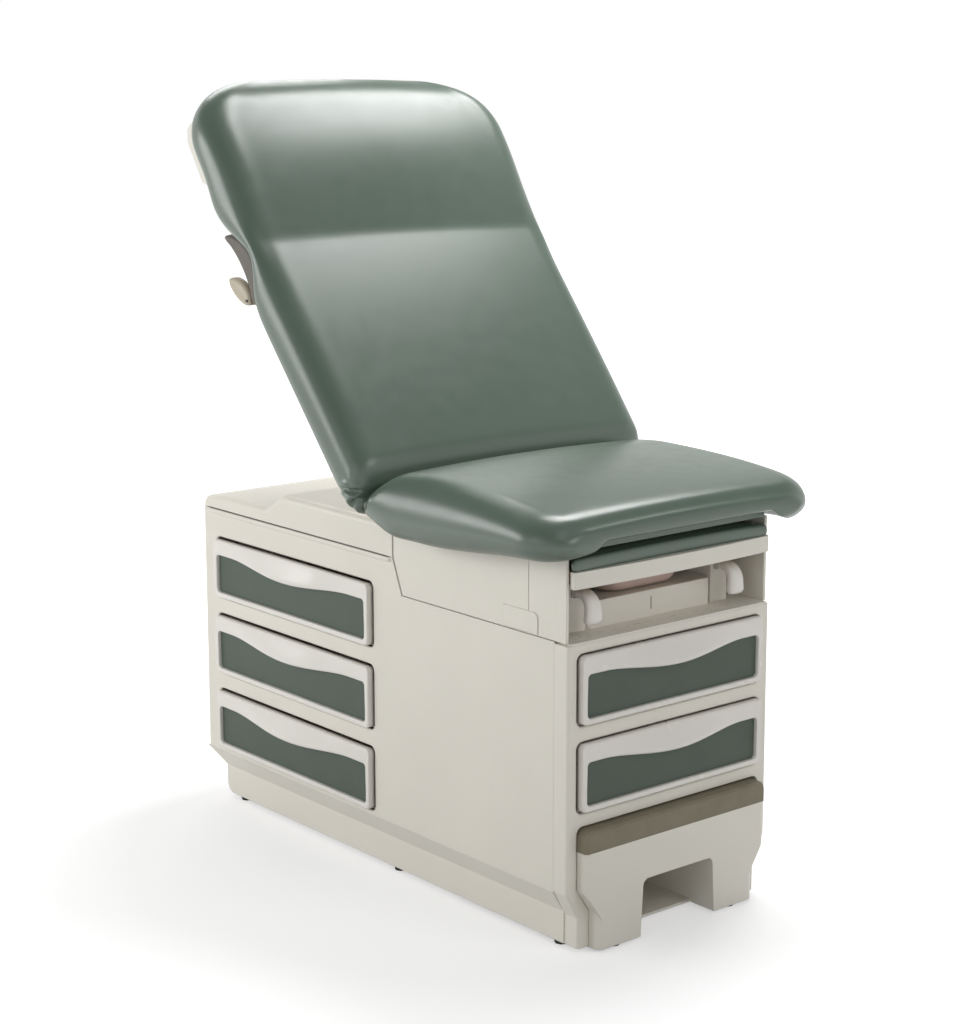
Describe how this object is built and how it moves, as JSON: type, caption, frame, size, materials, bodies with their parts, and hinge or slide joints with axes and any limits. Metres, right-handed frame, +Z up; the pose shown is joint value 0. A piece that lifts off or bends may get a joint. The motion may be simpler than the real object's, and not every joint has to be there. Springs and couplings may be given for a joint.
{
  "type": "examination table",
  "caption": "Padded examination table with a tilting back, pass-through side drawers, front drawers, pull-out step, footrest, treatment pan and stirrups.",
  "frame": {"origin": "on the floor under the middle of the base cabinet", "axes": "+Z up, the foot end with its step and front drawers faces -Y, the back reclines towards +Y"},
  "size_m": [0.7692, 1.241, 1.5674],
  "materials": {
    "body_paint": "satin powder coat, putty",
    "white_trim": "moulded, semi-gloss, warm white",
    "green_vinyl": "coated upholstery over foam, glossy sage green",
    "green_insert": "satin, grey green",
    "plywood": "bare board",
    "steel": "zinc plated",
    "dark_plastic": "fine grain, dark taupe",
    "beige_plastic": "satin, beige",
    "black_rubber": "matte black",
    "step_rubber": "matte ribbed, khaki grey",
    "tray_plastic": "moulded, satin",
    "pan_plastic": "glossy, pale pink beige"
  },
  "bodies": {
    "base": {"side_panel_left": "body_paint", "side_panel_right": "body_paint", "rear_panel": "body_paint", "base_tray": "body_paint", "front_frame": "white_trim", "top_cover": "white_trim", "seat_housing_left": "white_trim", "seat_housing_right": "white_trim", "seat_deck": "plywood", "seat_cushion": "green_vinyl", "hinge_brackets": "steel", "bulkhead": "body_paint", "strut_bracket": "steel", "lock_strut_housing": "dark_plastic", "stirrup_shelf": "white_trim", "stirrup_housing": "white_trim", "stirrup_guides": "white_trim", "pan_rails": "steel", "footrest_rails": "steel", "side_drawer_rails": "steel", "front_drawer_rails": "steel", "step_rails": "steel", "leveling_feet": "black_rubber", "crease_fold": "green_vinyl"},
    "backrest": {"backrest_panel": "plywood", "backrest_hinge_arms": "steel", "back_cover": "white_trim", "paper_roll_cover": "white_trim", "backrest_cushion": "green_vinyl", "release_grip_left": "dark_plastic", "release_grip_right": "dark_plastic"},
    "release_lever_left": {"release_lever_left": "beige_plastic"},
    "release_lever_right": {"release_lever_right": "beige_plastic"},
    "lock_rod": {"lock_strut_rod": "steel"},
    "step": {"step_body": "white_trim", "step_tread": "step_rubber", "step_glides": "black_rubber"},
    "footrest": {"footrest_board": "plywood", "footrest_bar": "white_trim", "footrest_pad": "green_vinyl"},
    "pan": {"treatment_pan": "pan_plastic"},
    "stirrup_left": {"stirrup_left_arm": "steel", "stirrup_left_hook": "white_trim"},
    "stirrup_right": {"stirrup_right_arm": "steel", "stirrup_right_hook": "white_trim"},
    "side_drawer_1": {"side_drawer_1_tray": "tray_plastic", "side_drawer_1_fronts": "white_trim", "side_drawer_1_inserts": "green_insert"},
    "side_drawer_2": {"side_drawer_2_tray": "tray_plastic", "side_drawer_2_fronts": "white_trim", "side_drawer_2_inserts": "green_insert"},
    "side_drawer_3": {"side_drawer_3_tray": "tray_plastic", "side_drawer_3_fronts": "white_trim", "side_drawer_3_inserts": "green_insert"},
    "front_drawer_1": {"front_drawer_1_tray": "tray_plastic", "front_drawer_1_front": "white_trim", "front_drawer_1_insert": "green_insert"},
    "front_drawer_2": {"front_drawer_2_tray": "tray_plastic", "front_drawer_2_front": "white_trim", "front_drawer_2_insert": "green_insert"}
  },
  "joints": [
    {"name": "backrest_tilt", "type": "hinge", "parent": "base", "child": "backrest", "pos_m": [0, -0.0845, 0.736], "axis": [1, 0, 0], "range_deg": [-50.6, 14.4], "deforming": ["crease_fold"]},
    {"name": "lock_rod_slide", "type": "slide", "parent": "base", "child": "lock_rod", "axis": [0, 1, 0], "range_m": [-0.066, 0.0195]},
    {"name": "release_left", "type": "hinge", "parent": "backrest", "child": "release_lever_left", "pos_m": [-0.344, 0.26546, 1.13054], "axis": [1, 0, 0], "range_deg": [0, 12], "stiffness_Nm_per_rad": 3},
    {"name": "release_right", "type": "hinge", "parent": "backrest", "child": "release_lever_right", "pos_m": [0.344, 0.26546, 1.13054], "axis": [1, 0, 0], "range_deg": [0, 12], "stiffness_Nm_per_rad": 3},
    {"name": "side_drawer_1_slide", "type": "slide", "parent": "base", "child": "side_drawer_1", "axis": [-1, 0, 0], "range_m": [-0.35, 0.35]},
    {"name": "side_drawer_2_slide", "type": "slide", "parent": "base", "child": "side_drawer_2", "axis": [-1, 0, 0], "range_m": [-0.35, 0.35]},
    {"name": "side_drawer_3_slide", "type": "slide", "parent": "base", "child": "side_drawer_3", "axis": [-1, 0, 0], "range_m": [-0.35, 0.35]},
    {"name": "front_drawer_1_slide", "type": "slide", "parent": "base", "child": "front_drawer_1", "axis": [0, -1, 0], "range_m": [0, 0.38]},
    {"name": "front_drawer_2_slide", "type": "slide", "parent": "base", "child": "front_drawer_2", "axis": [0, -1, 0], "range_m": [0, 0.38]},
    {"name": "step_slide", "type": "slide", "parent": "base", "child": "step", "axis": [0, -1, 0], "range_m": [0, 0.25]},
    {"name": "footrest_slide", "type": "slide", "parent": "base", "child": "footrest", "axis": [0, -1, 0], "range_m": [0, 0.4]},
    {"name": "pan_slide", "type": "slide", "parent": "base", "child": "pan", "axis": [0, -1, 0], "range_m": [0, 0.24]},
    {"name": "stirrup_left_slide", "type": "slide", "parent": "base", "child": "stirrup_left", "axis": [0, -1, 0], "range_m": [0, 0.3]},
    {"name": "stirrup_right_slide", "type": "slide", "parent": "base", "child": "stirrup_right", "axis": [0, -1, 0], "range_m": [0, 0.3]}
  ],
  "couplings": [
    {"joint": "lock_rod_slide", "follows": "backrest_tilt", "m_per_rad": 0.0722}
  ]
}
